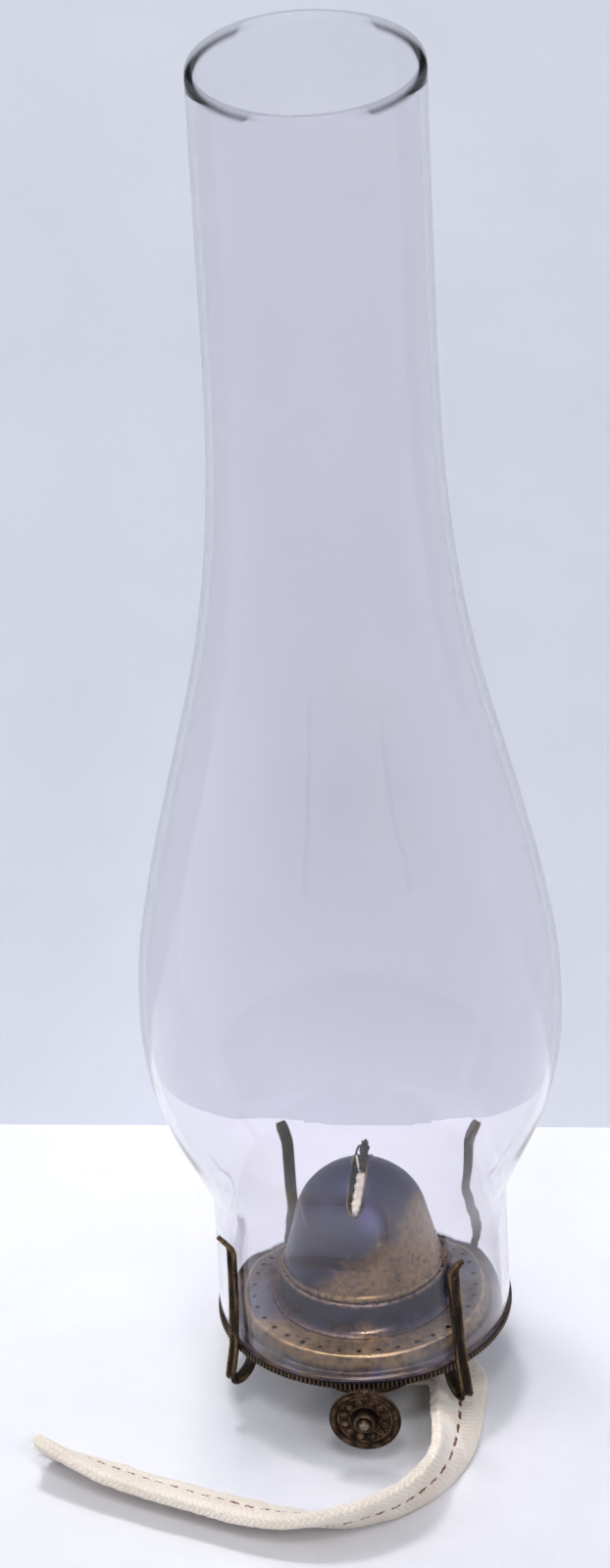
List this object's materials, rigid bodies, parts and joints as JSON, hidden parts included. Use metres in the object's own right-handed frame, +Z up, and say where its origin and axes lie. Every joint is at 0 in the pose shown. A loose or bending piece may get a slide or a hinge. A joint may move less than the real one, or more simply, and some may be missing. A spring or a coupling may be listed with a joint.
{
  "type": "lamp burner with glass chimney",
  "caption": "Flat-wick oil lamp burner with spring prongs, lift-off slotted dome, wick-raising knob, cotton wick and a tall bulged glass chimney.",
  "frame": {"origin": "on the burner's axis, at the level of the table it stands on", "axes": "+Z up along the chimney, -Y towards the wick knob"},
  "size_m": [0.1343, 0.1305, 0.386],
  "materials": {
    "aged_brass": "aged, dull with worn bright spots",
    "tarnished_brass": "heat tarnished, blue-grey with golden patches",
    "dark_brass": "nearly black patina, stamped ornament",
    "steel": "dull",
    "clear_glass": "clear, fire-polished",
    "cotton": "coarse woven cotton, charred at the burning edge"
  },
  "bodies": {
    "burner": {"rim_ring": "aged_brass", "screw_collar": "aged_brass", "base_plate": "aged_brass", "vent_tube": "aged_brass", "wick_tube": "aged_brass", "basket": "aged_brass", "bracket_front": "aged_brass", "bracket_rear": "aged_brass", "deck": "tarnished_brass", "drum": "tarnished_brass", "wick_fold": "cotton", "wick_tail": "cotton", "prong_foot_1": "aged_brass", "prong_foot_2": "aged_brass", "prong_foot_3": "aged_brass", "prong_foot_4": "aged_brass", "prong_rivet_1": "aged_brass", "prong_rivet_2": "aged_brass", "prong_rivet_3": "aged_brass", "prong_rivet_4": "aged_brass"},
    "knob": {"knob_disc": "dark_brass", "knob_boss": "dark_brass", "wick_shaft": "steel", "shaft_collar": "aged_brass", "spur_wheel_1": "aged_brass", "spur_wheel_2": "aged_brass", "spur_wheel_3": "aged_brass"},
    "wick": {"wick_band": "cotton"},
    "dome": {"dome": "tarnished_brass", "dome_skirt": "tarnished_brass"},
    "chimney": {"chimney": "clear_glass"},
    "prong_1": {"prong_leg_1": "aged_brass"},
    "prong_2": {"prong_leg_2": "aged_brass"},
    "prong_3": {"prong_leg_3": "aged_brass"},
    "prong_4": {"prong_leg_4": "aged_brass"}
  },
  "joints": [
    {"name": "knob_turn", "type": "hinge", "parent": "burner", "child": "knob", "pos_m": [0.0041, 0, 0.016], "axis": [0, 1, 0], "range_deg": [-90, 90]},
    {"name": "wick_feed", "type": "slide", "parent": "burner", "child": "wick", "axis": [0, 0, 1], "range_m": [-0.00447, 0.00447]},
    {"name": "dome_lift", "type": "slide", "parent": "burner", "child": "dome", "axis": [0, 0, 1], "range_m": [0, 0.042]},
    {"name": "chimney_lift", "type": "slide", "parent": "burner", "child": "chimney", "axis": [0, 0, 1], "range_m": [0, 0.08]},
    {"name": "prong_flex_1", "type": "hinge", "parent": "burner", "child": "prong_1", "pos_m": [0.02782, 0.02881, 0.0138], "axis": [-0.7193, 0.6947, 0], "range_deg": [0, 5], "stiffness_Nm_per_rad": 0.3, "springref_deg": -2.01},
    {"name": "prong_flex_2", "type": "hinge", "parent": "burner", "child": "prong_2", "pos_m": [-0.0241, 0.03198, 0.0138], "axis": [-0.7986, -0.6018, 0], "range_deg": [0, 5], "stiffness_Nm_per_rad": 0.3, "springref_deg": -2.01},
    {"name": "prong_flex_3", "type": "hinge", "parent": "burner", "child": "prong_3", "pos_m": [-0.03198, -0.0241, 0.0138], "axis": [0.6018, -0.7986, 0], "range_deg": [0, 5], "stiffness_Nm_per_rad": 0.3, "springref_deg": -2.01},
    {"name": "prong_flex_4", "type": "hinge", "parent": "burner", "child": "prong_4", "pos_m": [0.02832, -0.02832, 0.0138], "axis": [0.7071, 0.7071, 0], "range_deg": [0, 5], "stiffness_Nm_per_rad": 0.3, "springref_deg": -2.01}
  ],
  "couplings": [
    {"joint": "knob_turn", "follows": "wick_feed", "rad_per_m": 350.88}
  ]
}
